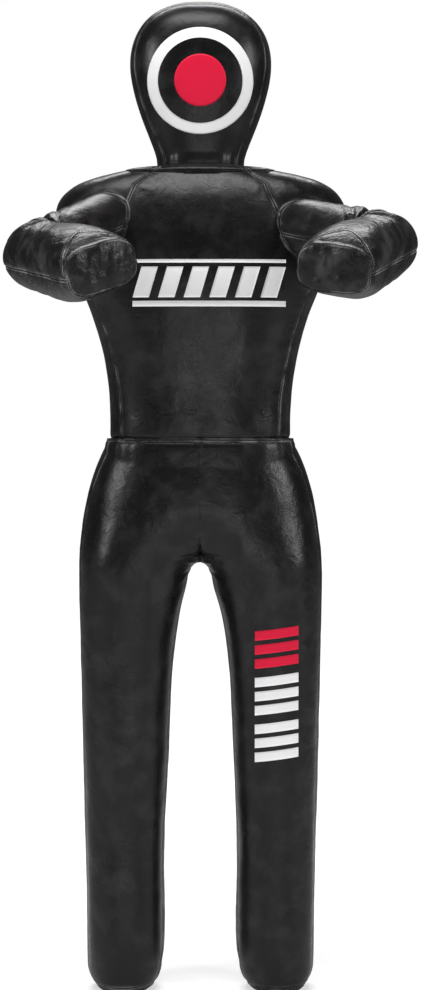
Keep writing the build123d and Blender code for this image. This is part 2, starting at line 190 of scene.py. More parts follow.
def bridge_fold(radii, along, lead=7):
    """Carries one line of readings across the open folds, keeping its direction at both ends."""
    known = np.flatnonzero(~np.isnan(radii))
    if len(known) == 0:
        return
    radii[: known[0]] = radii[known[0]]
    radii[known[-1] + 1 :] = radii[known[-1]]
    for a, b in zip(known[:-1], known[1:]):
        if b - a == 1:
            continue
        before, after = max(a - lead, known[0]), min(b + lead, known[-1])
        slopes = []
        for i, j in ((before, a), (b, after)):
            run = along[j] - along[i]
            rise = radii[j] - radii[i] if run > 0 and not np.isnan(radii[j] - radii[i]) else 0.0
            slopes.append(float(np.clip(rise / max(run, 1e-6), -STEEPEST, STEEPEST)))
        span = along[b] - along[a]
        t = (along[a + 1 : b] - along[a]) / span
        bend = (t**3 - 2 * t**2 + t) * span * slopes[0] + (t**3 - t**2) * span * slopes[1]
        radii[a + 1 : b] = radii[a] * (2 * t**3 - 3 * t**2 + 1) + radii[b] * (3 * t**2 - 2 * t**3) + bend


def trim_breaks(radii, rows=2):
    """Drops the readings right beside an open fold, where a ray may catch the cover's cut edge."""
    gap = np.isnan(radii)
    wide = gap.copy()
    for shift in range(1, rows + 1):
        wide[shift:] |= gap[:-shift]
        wide[:-shift] |= gap[shift:]
    radii[wide] = np.nan


def even_rings(rings, count):
    """Each ring's points moved to even spacing along it."""
    out = np.empty((len(rings), count, 3))
    for i, ring in enumerate(rings):
        closed = np.vstack([ring, ring[:1]])
        run = np.concatenate([[0], np.cumsum(np.linalg.norm(np.diff(closed, axis=0), axis=1))])
        at = np.arange(count) / count * run[-1]
        for axis in range(3):
            out[i, :, axis] = np.interp(at, run, closed[:, axis])
    return out


def level_frames(heights, centre_x=lambda z: 0.0):
    """Level rings that start at the middle of the back and run towards the mannequin's right. centre_x
    gives how far each ring's middle is from the body's."""
    back, right = Vector((0, 1, 0)), Vector((-1, 0, 0))
    return [(Vector((BODY_X + centre_x(z), BODY_Y, z)), back, right) for z in heights]


def spread_levels(tree, low, high, centre_x=lambda z: 0.0, step=CELL):
    """Heights spaced evenly along the surface, so that round ends get closer ones."""
    fine = np.linspace(low, high, 500)
    rings = cast_rings(tree, level_frames(fine, centre_x), fine, turns=8)
    steps = np.linalg.norm(np.diff(rings, axis=0), axis=2)
    run = np.concatenate([[0], np.cumsum(np.median(steps, axis=1) * 0.6 + steps.max(axis=1) * 0.4)])
    return np.interp(np.linspace(0, run[-1], int(run[-1] / step) + 1), run, fine)


def grid_normals(grid):
    """Outward normals of a grid of closed rings."""
    rows = np.gradient(grid, axis=0)
    columns = np.roll(grid, -1, axis=1) - np.roll(grid, 1, axis=1)
    normals = np.cross(columns, rows)
    normals /= np.linalg.norm(normals, axis=2, keepdims=True) + 1e-12
    away = grid - grid.mean(axis=1, keepdims=True)
    return normals * np.sign(np.sum(normals * away, axis=2).mean())


def distance(field, grid):
    """A field that is zero on a seam, turned into the signed distance from that seam along the surface."""
    rows = np.gradient(field, axis=0) / (np.linalg.norm(np.gradient(grid, axis=0), axis=2) + 1e-9)
    columns = np.roll(field, -1, axis=1) - np.roll(field, 1, axis=1)
    wide = np.linalg.norm(np.roll(grid, -1, axis=1) - np.roll(grid, 1, axis=1), axis=2)
    slope = np.sqrt(rows**2 + (columns / (wide + 1e-9)) ** 2)
    return field / np.maximum(slope, 0.25)


def seam_press(gap, run, points, depth=0.0014, pull=0.0018, pucker=0.0009):
    """How far a seam draws the leather in: a narrow groove, a wide pull, and puckers along it."""
    groove = -depth * bump(gap, 0.0032)
    draw = -pull * np.exp(-np.abs(gap) / 0.016)
    waves = streaks(3.7, run * 58, np.abs(gap) * 16, points[..., 2] * 3)
    crimp = pucker * waves * np.exp(-np.abs(gap) / 0.015) * (1 - bump(gap, 0.0035))
    return groove + draw + crimp


def dents(grid, amount=0.0022, shift=0.0):
    """The uneven filling under the leather."""
    wide = rough(grid, (8, 8, 5), shift)
    small = rough(grid, (24, 24, 15), shift + 9)
    fine = rough(grid, (60, 60, 40), shift + 17)
    return amount * (wide + 0.34 * small + 0.1 * fine)


# --- Cutting a skin into panels ---
def make_pieces(grid, labels, lengthwise, crosswise, cap_low=False, cap_high=False, drop=None):
    """Panels from one grid of rings: {label: object}. labels has one name per cell. lengthwise and crosswise
    hold each seam's signed distance, for the stitches. All panels share the whole skin's normals, so that
    their meeting edges don't show."""
    rows, columns = grid.shape[:2]
    points = [Vector(p) for p in grid.reshape(-1, 3)]
    fields = {"run_length": length_run(grid), "run_round": ring_run(grid)}
    for key, seams in (("length", lengthwise), ("round", crosswise)):
        for i in range(2):
            fields[f"seam_{key}_{i}"] = seams[i] if i < len(seams) else np.ones((rows, columns))
    fields = {key: list(np.clip(values, -9, 9).ravel()) for key, values in fields.items()}
    faces, names = [], []
    for i in range(rows - 1):
        for k in range(columns):
            if drop is not None and drop[i, k]:
                continue
            faces.append(corners(i, k, columns))
            names.append(labels[i, k])
    for wanted, row in ((cap_low, 0), (cap_high, rows - 1)):
        if wanted:
            middle = len(points)
            points.append(sum((points[row * columns + k] for k in range(columns)), Vector()) / columns)
            for values in fields.values():
                values.append(0.5)
            for k in range(columns):
                faces.append((row * columns + k, row * columns + (k + 1) % columns, middle))
                names.append(labels[min(row, rows - 2), k])
    whole = bpy.data.meshes.new("whole")
    whole.from_pydata(points, [], faces)
    whole.update()
    centre = sum(points, Vector()) / len(points)
    flip = sum((p.center - centre).dot(p.normal) * p.area for p in whole.polygons) < 0
    normals = [(-v.normal if flip else v.normal.copy()) for v in whole.vertices]
    pieces = {}
    for label in sorted(set(names)):
        mine = [f for f, name in zip(faces, names) if name == label]
        used = sorted({i for f in mine for i in f})
        place = {old: new for new, old in enumerate(used)}
        mesh = bpy.data.meshes.new(label)
        local = [tuple(place[i] for i in (reversed(f) if flip else f)) for f in mine]
        mesh.from_pydata([points[i] for i in used], [], local)
        mesh.update()
        mesh.shade_smooth()
        mesh.normals_split_custom_set_from_vertices([normals[i] for i in used])
        keep_rest(mesh)
        for key, values in fields.items():
            layer = mesh.attributes.new(key, "FLOAT", "POINT")
            layer.data.foreach_set("value", np.array([values[i] for i in used], np.float32))
        pieces[label] = new_object(label, mesh)
    bpy.data.meshes.remove(whole)
    return pieces


def keep_rest(mesh):
    """Stores each point's place, so that the material's grain stays with the leather as it bends."""
    rest = mesh.attributes.new("rest", "FLOAT_VECTOR", "POINT")
    rest.data.foreach_set("vector", np.array([v.co for v in mesh.vertices], np.float32).ravel())


def new_object(name, mesh):
    made = bpy.data.objects.new(name, mesh)
    bpy.context.scene.collection.objects.link(made)
    return made


def length_run(grid):
    """How far along the skin each ring lies."""
    steps = np.linalg.norm(np.diff(grid, axis=0), axis=2).mean(axis=1)
    run = np.concatenate([[0], np.cumsum(steps)])
    return np.broadcast_to(run[:, None], grid.shape[:2])


def ring_run(grid):
    steps = np.linalg.norm(np.roll(grid, -1, axis=1) - grid, axis=2)
    return np.cumsum(steps, axis=1)


# --- Materials ---
def node_material(name, build):
    """A material whose node tree build() finishes. build gets the Principled node."""
    material = bpy.data.materials.new(name)
    material.use_nodes = True
    surface = material.node_tree.nodes["Principled BSDF"]
    build(surface)
    return material


def add_node(beside, kind):
    """A new node in the same tree as a node or socket that is already there."""
    return beside.id_data.nodes.new(kind)


def link(start, end):
    end.id_data.links.new(start, end)


def texture(vector, kind, scale, **settings):
    node = add_node(vector, kind)
    node.inputs["Scale"].default_value = scale
    for key, value in settings.items():
        if key in node.inputs:
            node.inputs[key].default_value = value
        else:
            setattr(node, key, value)
    link(vector, node.inputs["Vector"])
    return node


def stored(beside, attribute, output="Fac"):
    node = add_node(beside, "ShaderNodeAttribute")
    node.attribute_name = attribute
    return node.outputs[output]


def product(a, b):
    return maths("MULTIPLY", a, b)


def noise(at, scale, detail, distortion=0.0):
    node = texture(at, "ShaderNodeTexNoise", scale, Detail=detail, Distortion=distortion)
    return node.outputs["Fac"]


def pebbles(at):
    """The grain of the leather: small rounded cells."""
    node = texture(at, "ShaderNodeTexVoronoi", 620.0, feature="SMOOTH_F1", Smoothness=0.7)
    return node.outputs["Distance"]


def maths(operation, a, b=None):
    """One sum on socket a and socket or number b."""
    node = add_node(a, "ShaderNodeMath")
    node.operation = operation
    for socket, value in zip(node.inputs, (a, b)):
        if value is None:
            continue
        if isinstance(value, (int, float)):
            socket.default_value = value
        else:
            link(value, socket)
    return node.outputs[0]


def ramp(value, low, high, out_low, out_high):
    node = add_node(value, "ShaderNodeMapRange")
    for key, number in (("From Min", low), ("From Max", high), ("To Min", out_low), ("To Max", out_high)):
        node.inputs[key].default_value = number
    link(value, node.inputs["Value"])
    return node.outputs["Result"]


def add_bump(surface, height, strength, depth, below=None):
    node = add_node(surface, "ShaderNodeBump")
    node.inputs["Strength"].default_value = strength
    node.inputs["Distance"].default_value = depth
    link(height, node.inputs["Height"])
    if below is not None:
        link(below.outputs["Normal"], node.inputs["Normal"])
    link(node.outputs["Normal"], surface.inputs["Normal"])
    return node


def mix_colour(factor, a, b):
    node = add_node(factor, "ShaderNodeMix")
    node.data_type = "RGBA"
    for socket, colour in ((node.inputs["A"], a), (node.inputs["B"], b)):
        if isinstance(colour, tuple):
            socket.default_value = (*colour, 1)
        else:
            link(colour, socket)
    link(factor, node.inputs["Factor"])
    return node.outputs["Result"]


def seam_lines(surface, key):
    """The bent-in line of one kind of seam, the rounded edges beside it, and its row of stitches."""
    gaps = [maths("ABSOLUTE", stored(surface, f"seam_{key}_{i}")) for i in range(2)]
    gap = maths("MINIMUM", *gaps)
    run = stored(surface, f"run_{key}")
    line = ramp(gap, 0.0, 0.0016, 1.0, 0.0)
    edge = ramp(maths("ABSOLUTE", maths("SUBTRACT", gap, 0.0024)), 0.0, 0.0018, 1.0, 0.0)
    row = maths("ABSOLUTE", maths("SUBTRACT", gap, 0.0062))
    dash = maths("GREATER_THAN", maths("FRACT", product(run, 190.0)), 0.3)
    thread = product(ramp(row, 0.0, 0.0008, 1.0, 0.0), dash)
    return line, edge, thread


def build_leather(surface):
    """Black coated leather: pebble grain, shallow creases, uneven gloss, painted highlights along the seam
    edges, painted highlight blotches on the arms, and stitches.
    """
    rest = stored(surface, "rest", "Vector")
    grain = pebbles(rest)
    pores = noise(rest, 1500.0, 3.0)
    creases = noise(rest, 38.0, 5.0, 0.9)
    patches = noise(rest, 9.0, 4.0)
    scuffs = noise(rest, 130.0, 5.0, 1.6)
    broken = noise(rest, 26.0, 2.0)
    pairs = zip(seam_lines(surface, "length"), seam_lines(surface, "round"))
    line, edge, thread = [maths("MAXIMUM", a, b) for a, b in pairs]
    split = add_node(surface, "ShaderNodeSeparateXYZ")
    link(rest, split.inputs[0])
    arm_region = ramp(split.outputs["Y"], ARM_FRONT - 0.1, ARM_FRONT, 1.0, 0.3)
    # Painted highlight: a pale colour along the seams' rounded edges, broken up by noise and strongest on the
    # arms, stands in for the glints on the seam ridges.
    painted_edge_highlight = product(edge, ramp(broken, 0.42, 0.62, 0.06, 0.6))
    painted_edge_highlight = product(painted_edge_highlight, ramp(arm_region, 0.3, 1.0, 0.65, 1.0))

    shade = mix_colour(patches, (0.0032, 0.0033, 0.0035), (0.0062, 0.0062, 0.0066))
    spot_mask = ramp(scuffs, 0.62, 0.8, 0.0, 0.22)
    # Painted highlight: lighter grey blotches, strongest on the arms and hand caps and weaker over the body,
    # stand in for the glints on their creased leather.
    painted_highlight_blotch = product(ramp(broken, 0.48, 0.68, 0.0, 0.9), arm_region)
    # From here on this mask holds both the scuff wear and the painted highlight blotches, and the next line
    # lightens the colour under both.
    spot_mask = maths("MAXIMUM", spot_mask, painted_highlight_blotch)
    shade = mix_colour(spot_mask, shade, (0.04, 0.04, 0.042))
    # Painted highlight along the seam edges.
    shade = mix_colour(painted_edge_highlight, shade, (0.45, 0.45, 0.455))
    shade = mix_colour(line, shade, (0.003, 0.003, 0.0032))
    shade = mix_colour(product(thread, 0.5), shade, (0.03, 0.03, 0.032))
    link(shade, surface.inputs["Base Color"])

    gloss = ramp(patches, 0.3, 0.7, 0.28, 0.36)
    gloss = maths("ADD", gloss, ramp(scuffs, 0.4, 0.75, -0.03, 0.07))
    gloss = maths("SUBTRACT", gloss, product(edge, 0.1))
    link(gloss, surface.inputs["Roughness"])
    surface.inputs["Specular IOR Level"].default_value = 0.3
    surface.inputs["Sheen Weight"].default_value = 0.02

    low = add_bump(surface, product(creases, arm_region), 0.9, 0.0035)
    middle = add_bump(surface, grain, 0.2, 0.0004, low)
    fine = add_bump(surface, pores, 0.14, 0.0002, middle)
    raised = maths("SUBTRACT", maths("ADD", edge, product(thread, 0.3)), line)
    add_bump(surface, raised, 0.7, 0.0012, fine)


def build_print(tone):
    """Printed vinyl: an even colour, rubbed spots, and the leather's grain showing through."""

    def build(surface):
        rest = stored(surface, "rest", "Vector")
        grain = pebbles(rest)
        cast = noise(rest, 22.0, 4.0)
        rubs = noise(rest, 240.0, 6.0, 1.2)
        darker = tuple(c * 0.9 for c in tone)
        shade = mix_colour(cast, darker, tone)
        spot_mask = ramp(rubs, 0.66, 0.8, 0.0, 0.22)
        shade = mix_colour(spot_mask, shade, tuple(c * 0.6 for c in tone))
        link(shade, surface.inputs["Base Color"])
        link(ramp(rubs, 0.3, 0.7, 0.42, 0.56), surface.inputs["Roughness"])
        surface.inputs["Specular IOR Level"].default_value = 0.2
        low = add_bump(surface, grain, 0.16, 0.0004)
        add_bump(surface, cast, 0.12, 0.003, low)

    return build


def build_tape(surface):
    """Woven zip tape: a herringbone of fine ribs."""
    at = add_node(surface, "ShaderNodeTexCoord").outputs["Object"]
    ribs = texture(at, "ShaderNodeTexWave", 420.0, bands_direction="DIAGONAL", Distortion=1.0)
    fuzz = noise(at, 900.0, 4.0)
    shade = mix_colour(ribs.outputs["Fac"], (0.006, 0.006, 0.007), (0.022, 0.022, 0.024))
    link(shade, surface.inputs["Base Color"])
    link(ramp(fuzz, 0.3, 0.7, 0.75, 0.95), surface.inputs["Roughness"])
    surface.inputs["Sheen Weight"].default_value = 0.3
    low = add_bump(surface, ribs.outputs["Fac"], 0.5, 0.0004)
    add_bump(surface, fuzz, 0.3, 0.0003, low)


def build_moulded(surface):
    """Moulded plastic teeth: satin with faint flow marks."""
    at = add_node(surface, "ShaderNodeTexCoord").outputs["Object"]
    marks = noise(at, 700.0, 3.0)
    shade = mix_colour(marks, (0.01, 0.01, 0.011), (0.03, 0.03, 0.032))
    link(shade, surface.inputs["Base Color"])
    link(ramp(marks, 0.3, 0.7, 0.3, 0.45), surface.inputs["Roughness"])
    add_bump(surface, marks, 0.15, 0.0002)


def build_metal(surface):
    """Black lacquered zinc with bright rubbed spots."""
    at = add_node(surface, "ShaderNodeTexCoord").outputs["Object"]
    rubs = noise(at, 320.0, 6.0, 0.8)
    fine = noise(at, 2400.0, 2.0)
    bare = ramp(rubs, 0.6, 0.7, 0.0, 0.8)
    shade = mix_colour(bare, (0.02, 0.02, 0.022), (0.3, 0.29, 0.28))
    link(shade, surface.inputs["Base Color"])
    surface.inputs["Metallic"].default_value = 0.9
    link(ramp(fine, 0.3, 0.7, 0.28, 0.42), surface.inputs["Roughness"])
    add_bump(surface, fine, 0.1, 0.0001)


# A finish is a material and the record's slot that it stands for.
LEATHER = node_material("black_leather", build_leather), "cover_leather"
WHITE = node_material("white_vinyl", build_print((0.96, 0.96, 0.97))), "print_white"
RED = node_material("red_vinyl", build_print((0.79, 0.009, 0.05))), "print_red"
TAPE = node_material("zip_tape_weave", build_tape)
TEETH = node_material("zip_teeth_plastic", build_moulded)
METAL = node_material("zip_metal_black", build_metal)


def dress(piece, finish):
    piece.data.materials.append(finish[0])


# --- Head ---
def build_head():
    """The head's front and back panels with the gusset between them, and the short neck below."""
    tree = covers("head_")
    base = NECK.z - 0.004
    heights = spread_levels(tree, base, CROWN_Z - 0.0004)
    rings = cast_rings(tree, level_frames(heights), heights)
    grid = close_crown(even_rings(rings, int(0.70 / CELL)))
    normals = grid_normals(grid)
    x, y = grid[..., 0] - BODY_X, grid[..., 1] - BODY_Y
    low = grid[..., 2] - base
    front, back = distance(y + HEAD_SEAM, grid), distance(y - HEAD_SEAM, grid)
    run = grid[..., 2] + np.abs(x) * 0.6
    press = seam_press(front, run, grid, pull=0.0012) + seam_press(back, run, grid, pull=0.0012)
    press += dents(grid, 0.001, 2.0)
    press += -0.003 * np.exp(-low / 0.005)
    pleats = streaks(5.0, x * 30, y * 30, low * 6)
    press += 0.0007 * pleats * np.exp(-low / 0.03)
    grid = grid + normals * press[..., None]
    middle = (y[:-1] + y[1:]) / 2
    labels = np.full(middle.shape, "head_gusset_skin", dtype=object)
    labels[middle < -HEAD_SEAM] = "head_front_skin"
    labels[middle > HEAD_SEAM] = "head_back_skin"
    pieces = make_pieces(grid, labels, (front, back), (low,), cap_high=True)
    for piece in pieces.values():
        dress(piece, LEATHER)
        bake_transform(piece)
    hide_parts("head_front_panel")
    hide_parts("head_back_panel")
    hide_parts("head_side_gusset", "head_filling")
    return grid


def close_crown(grid):
    """Carries the rings in over the crown and rounds the rim of the flat that they close."""
    middle = grid[-1].mean(axis=0)
    inner = [middle + (grid[-1] - middle) * share for share in (0.8, 0.6, 0.4, 0.2)]
    return soften_rows(np.concatenate([grid, inner]), 14, 8)


# --- Torso ---
def arm_line(side):
    """The shoulder fold's middle, the elbow, the middle of the hand's end, and the arm's directions."""
    shoulder, elbow = pivot(f"{side}_shoulder_raise"), pivot(f"{side}_elbow_bend")
    low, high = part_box(f"{side}_hand_cap")
    hand = (low + high) / 2
    return shoulder, elbow, hand, (elbow - shoulder).normalized(), (hand - elbow).normalized()


def off_axis(grid, origin, way):
    """Each point's distance from a line, and how far along the line it is."""
    rel = grid - np.array(origin)
    along = rel @ np.array(way)
    return np.linalg.norm(rel - along[..., None] * np.array(way), axis=-1), along


def build_torso(neck_ring):
    """The trunk from the waist seam to the neck seam, with the raglan seams from the neck to the armholes."""
    tree = covers("torso_", "hips_")
    heights = spread_levels(tree, WAIST.z - 0.003, NECK.z - 0.009)
    rings = cast_rings(tree, level_frames(heights), heights)
    grid = even_rings(rings, int(1.04 / CELL))
    neck = even_rings([neck_ring], grid.shape[1])[0]
    neck[:, 2] = NECK.z + 0.001
    steps = int(np.linalg.norm(grid[-1] - neck, axis=1).max() / CELL)
    shares = np.arange(1, steps + 1) / steps
    collar = [grid[-1] + (neck - grid[-1]) * np.array([t, t, t**0.8]) for t in shares]
    middle = neck.mean(axis=0)
    tuck = middle + (neck - middle) * 0.93 - np.array([0, 0, 0.008])  # under the head, so that no gap shows
    grid = np.concatenate([grid, np.array(collar), tuck[None]])
    grid[:-1] = soften_rows(grid[:-1], len(collar) + 9, 6)
    columns = grid.shape[1]
    for k, share in ((1, -0.5), (2, -1.0), (columns - 1, 0.5), (columns - 2, 1.0)):
        grid[:, k, 0] = BODY_X + share * ZIP_HALF
    normals = grid_normals(grid)
    x, y, z = grid[..., 0] - BODY_X, grid[..., 1] - BODY_Y, grid[..., 2]
    across = np.abs(x)
    neck_x = np.abs(neck[:, 0] - BODY_X).max()

    drop = NECK.z - z
    raglan_x = [neck_x - 0.006, 0.116, 0.134, 0.15, 0.178, 0.206]
    raglan = np.interp(drop, [0, 0.037, 0.08, 0.11, 0.15, 0.18], raglan_x)
    share = smooth(0.172, 0.19, drop)
    front = distance((y + TORSO_SEAM) * share + (across - raglan) * (1 - share), grid)
    front = np.where(y > 0.02, 0.5, front)  # these seams are on the front only
    back_line = np.interp(drop, [0.0, 0.03, 0.1, 0.15], [0.012, 0.016, TORSO_SEAM * 0.8, TORSO_SEAM])
    back = distance(y - back_line, grid)
    in_zip = (z > ZIP_LOW) & (z < ZIP_HIGH)
    middle = np.where((y > 0) & ~in_zip, distance(x, grid), 1.0)
    waist = z - WAIST.z

    press = seam_press(front, z, grid) + seam_press(back, z + 0.3, grid)
    press += np.where(middle < 0.5, seam_press(middle, z, grid), 0)
    press += dents(grid, 0.0026, 4.0) * smooth(0.0, 0.03, drop)
    press += waist_draw(waist, grid, 1.3)
    for side in SIDES:
        shoulder, _, _, way, _ = arm_line(side)
        off, along = off_axis(grid, shoulder, way)
        near = along > -0.09
        press += np.where(near, -0.002 * np.exp(-np.abs(off - SLEEVE) / 0.009), 0)
        spin = np.arctan2(z - shoulder.z, (grid[..., 0] - shoulder.x) * SIDES[side])
        rays = streaks(6.0, spin * 3.0, off * 10, 0 * off)
        press += np.where(near, 0.0018 * rays * np.exp(-np.maximum(off - SLEEVE, 0) / 0.04), 0)
    flat = 1 - 0.95 * bump(np.where(y > 0, x, 1), 0.02) * (z > ZIP_LOW - 0.02) * (z < ZIP_HIGH + 0.02)
    grid = grid + normals * (press * flat)[..., None]

    labels = np.full((grid.shape[0] - 1, columns), "torso_front_skin", dtype=object)
    left = x[:-1] > 0
    for field, kind in ((front[:-1], "side"), (back[:-1], "back")):
        labels[(field > 0) & left] = f"torso_{kind}_skin_left"
        labels[(field > 0) & ~left] = f"torso_{kind}_skin_right"
    labels[:, :3] = "torso_back_skin_right"
    labels[:, -3:] = "torso_back_skin_left"
    slot = np.zeros(labels.shape, bool)
    slot[:, [0, 1, -1, -2]] = in_zip[:-1, :1] & in_zip[1:, :1]
    pieces = make_pieces(grid, labels, (front, back), (waist, middle), drop=slot)
    for label, piece in pieces.items():
        dress(piece, LEATHER)
        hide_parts(label.replace("skin", "panel"))
        if label.startswith("torso_back_skin"):
            zip_lip(piece)
        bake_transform(piece)
    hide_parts("torso_filling")
    return grid


def soften_rows(grid, rows, rounds):
    """Evens out the last rows, where a skin turns over: at the collar and on the crown."""
    out = grid.copy()
    for _ in range(rounds):
        out[-rows:-1] = (out[-rows - 1 : -2] + 2 * out[-rows:-1] + out[-rows + 1 :]) / 4
    return out


def waist_draw(above, grid, shift):
    """The waist seam's pull and its small gathers. above is the distance from the seam."""
    above = np.maximum(above, 0)
    gathers = streaks(shift, ring_run(grid) * 40, above * 7, 0 * above)
    draw = -0.0045 * np.exp(-above / 0.004) - 0.0015 * np.exp(-above / 0.02)
    return draw + 0.0012 * gathers * np.exp(-above / 0.03)


def zip_lip(piece):
    """Folds the leather in along the zip's slot, so that its edge has thickness."""
    mesh = piece.data
    edges = {}
    for polygon in mesh.polygons:
        for key in polygon.edge_keys:
            edges[key] = edges.get(key, 0) + 1
    for (a, b), uses in edges.items():
        points = mesh.vertices[a], mesh.vertices[b]
        if uses == 1 and all(abs(abs(p.co.x - BODY_X) - ZIP_HALF) < 1e-4 and p.co.y > BODY_Y for p in points):
            for p in points:
                p.co.y -= 0.0012
    mesh.update()


# --- Trousers ---
def leg_middle(z):
    """How far the leg's own centre line is from the body's middle, from the hip down to the foot."""
    return float(np.interp(z, [KNEE.z, HIP.z], [FOOT_X, HIP_X]))


def build_leg(name, side):
    """One trouser leg from the waist seam to the sole cap, closed by a flat inner wall above the crotch."""
    tree = covers("hips_", f"{name}_thigh", f"{name}_shin", f"{name}_foot", "torso_")
    foot = covers(f"{name}_shin", f"{name}_foot")
    heights = spread_levels(foot, 0.0004, 0.1, lambda z: side * leg_middle(z))
    heights = np.concatenate([
        heights,
        np.arange(0.1 + CELL, CROTCH_Z - 0.03, CELL),
        np.arange(CROTCH_Z - 0.028, CROTCH_Z + 0.008, 0.0018),
        np.arange(CROTCH_Z + 0.012, WAIST.z + 0.003, CELL),
    ])
    frames = level_frames(heights, lambda z: side * leg_middle(z))
    rings = cast_rings(tree, frames, heights)
    centres = as_arrays(frames)[0]
    away = rings - centres
    inward = -side * away[..., 0]
    room = np.abs(centres[..., 0] - BODY_X) + 0.001
    rings = centres + away * np.minimum(1, room / np.maximum(inward, 1e-4))[..., None]

    grid = even_rings(rings, int(0.56 / CELL))
    inner = side * (grid[..., 0] - BODY_X)
    climb = np.clip((grid[..., 2] - CROTCH_Z + 0.02) / 0.02, 0, 1)
    arch = (1 - np.sqrt(1 - climb**2)) * (inner < 0.05)
    arch = arch * bump(np.maximum(inner - 0.012, 0), 0.012)
    grid[..., 0] = BODY_X + side * (inner - (inner + 0.001) * arch)
    normals = grid_normals(grid)
    x, y, z = side * (grid[..., 0] - BODY_X), grid[..., 1] - BODY_Y, grid[..., 2]

    forward = np.interp(z, [0.0, SPLIT_Z, HIP.z, WAIST.z], [0, 0, 0.002, 0.03])
    sides = distance(y - (LEG_SEAM - forward), grid)
    sole = distance(z - SOLE_SEAM_Z, grid)
    waist = WAIST.z - z

    press = seam_press(sides, z, grid) + seam_press(sole, ring_run(grid), grid, pull=0.001)
    press += dents(grid, 0.0022, 8.0 + side)
    press += 0.0013 * rough(grid, (22, 22, 3.2), 21.0 + side) * smooth(0.03, 0.12, z)
    press += waist_draw(waist, grid, 12.3)
    reach = np.hypot(x, z - CROTCH_Z)
    spin = np.arctan2(z - CROTCH_Z, x + 0.004)
    rays = streaks(15.0, spin * 4.2, reach * 9, y * 6)
    press += 0.0045 * rays * np.exp(-reach / 0.055) * smooth(0.004, 0.03, reach)
    shown = smooth(0.02, 0.06, np.abs(y)) * (z > CROTCH_Z - 0.012)
    press += -0.0015 * np.exp(-np.maximum(x, 0) / 0.005) * shown
    press = np.where((x < 0.004) & (z > CROTCH_Z), 0, press)
    grid = grid + normals * press[..., None]
    grid[..., 0] = BODY_X + side * np.maximum(side * (grid[..., 0] - BODY_X), -0.001)

    above, behind = z[:-1], sides[:-1] > 0
    labels = np.where(behind, f"trouser_back_skin_{name}", f"trouser_front_skin_{name}").astype(object)
    labels[(above < SPLIT_Z) & behind] = f"leg_back_skin_{name}"
    labels[(above < SPLIT_Z) & ~behind] = f"leg_front_skin_{name}"
    labels[above < SOLE_SEAM_Z] = f"sole_skin_{name}"
    pieces = make_pieces(grid, labels, (sides,), (sole, waist), cap_low=True)
    for label, piece in pieces.items():
        dress(piece, LEATHER)
        if label.startswith("trouser"):
            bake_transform(piece)
        else:
            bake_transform(piece)
    for face, inside in (("front", "thigh"), ("back", "shin")):
        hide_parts(f"hips_{face}_panel_{name}", f"{name}_thigh_{face}_panel")
        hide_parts(f"{name}_shin_{face}_panel", f"{name}_{inside}_filling")
    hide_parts(f"{name}_foot_cap")
    if side > 0:
        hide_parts("hips_filling")
    return grid


# --- Arms ---
def arm_frames(shoulder, elbow, hand, up, radius=0.066):
    """Frames along the arm from inside the trunk to the hand, rounding the elbow: centre, out, top."""
    upper, fore = (elbow - shoulder).normalized(), (hand - elbow).normalized()
    angle = upper.angle(fore)
    tangent = radius * math.tan(angle / 2)
    axis = upper.cross(fore).normalized()
    start = elbow - upper * tangent
    middle = start + axis.cross(upper) * radius
    lengths = ((start - shoulder).length + ARM_ROOT, radius * angle, (hand - elbow).length - tangent)
    along = np.linspace(0, sum(lengths), int(sum(lengths) / ARM_CELL) + 1)
    frames = []
    for s in along:
        past = s - lengths[0]
        if past < 0:
            centre, way = shoulder + upper * (s - ARM_ROOT), upper
        elif past < lengths[1]:
            turn, spoke = past / radius, start - middle
            centre = middle + spoke * math.cos(turn) + axis.cross(spoke) * math.sin(turn)
            way = upper * math.cos(turn) + axis.cross(upper) * math.sin(turn)
        else:
            centre, way = elbow + fore * (tangent + past - lengths[1]), fore
        out = way.cross(up).normalized()
        frames.append((centre, out, out.cross(way).normalized()))
    return frames, along, lengths


